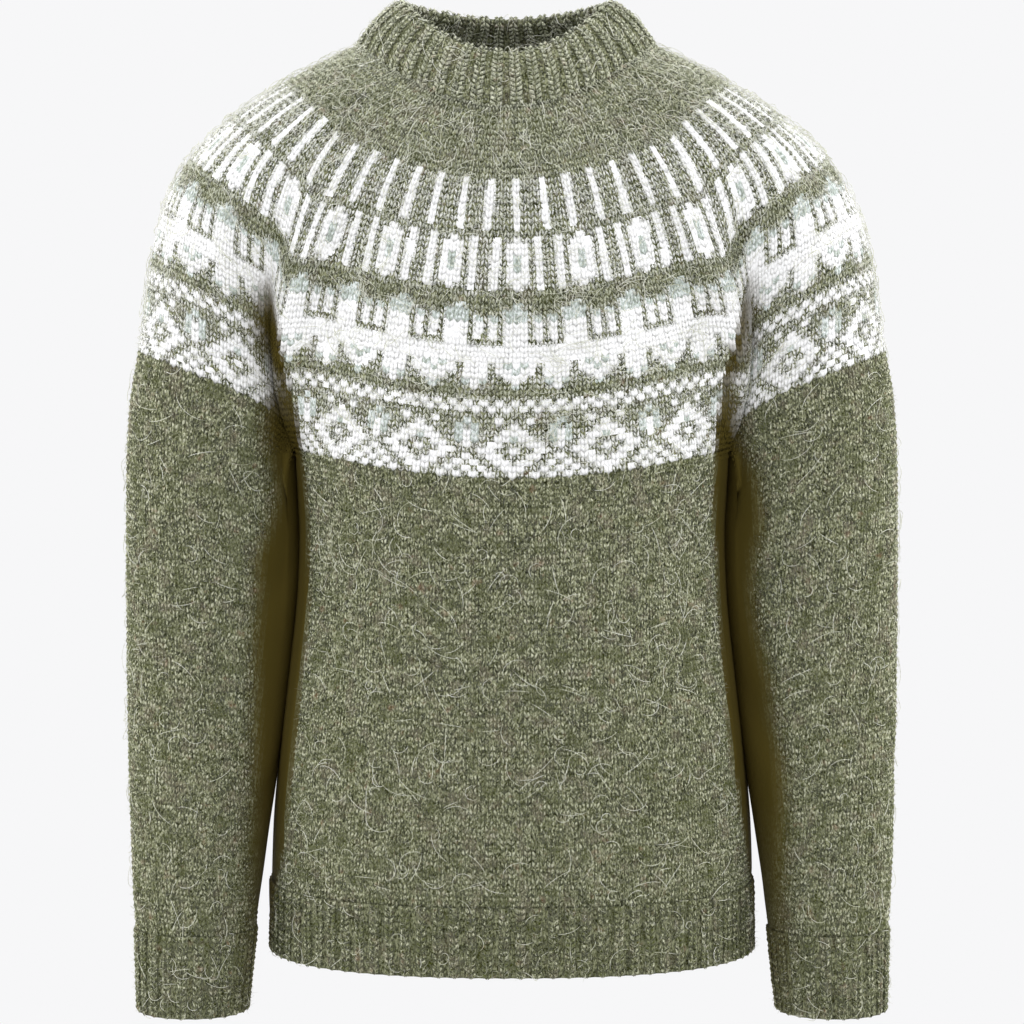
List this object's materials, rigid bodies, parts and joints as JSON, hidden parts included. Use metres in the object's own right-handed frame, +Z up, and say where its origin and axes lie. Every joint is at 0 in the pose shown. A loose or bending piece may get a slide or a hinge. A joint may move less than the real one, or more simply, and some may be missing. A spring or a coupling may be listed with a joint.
{
  "type": "round yoke knit sweater",
  "caption": "Hollow long-sleeved wool pullover with a knitted round yoke, ribbed mock neck, hem and cuffs, filled out as worn.",
  "frame": {"origin": "middle of the neck, level with the front of the neckband's lower edge, where the wearer's shoulders hold the garment", "axes": "+Z up, -Y out of the front, +X towards the wearer's left sleeve"},
  "size_m": [0.539, 0.2565, 0.6993],
  "materials": {
    "olive_heather_wool": "matt, brushed heather knit",
    "yoke_pattern_wool": "matt, brushed stranded colourwork"
  },
  "bodies": {
    "root": {"neckband": "olive_heather_wool", "yoke": "yoke_pattern_wool", "body": "olive_heather_wool", "hem_rib": "olive_heather_wool", "sleeve_left": "olive_heather_wool", "sleeve_right": "olive_heather_wool", "cuff_left": "olive_heather_wool", "cuff_right": "olive_heather_wool"}
  },
  "joints": []
}
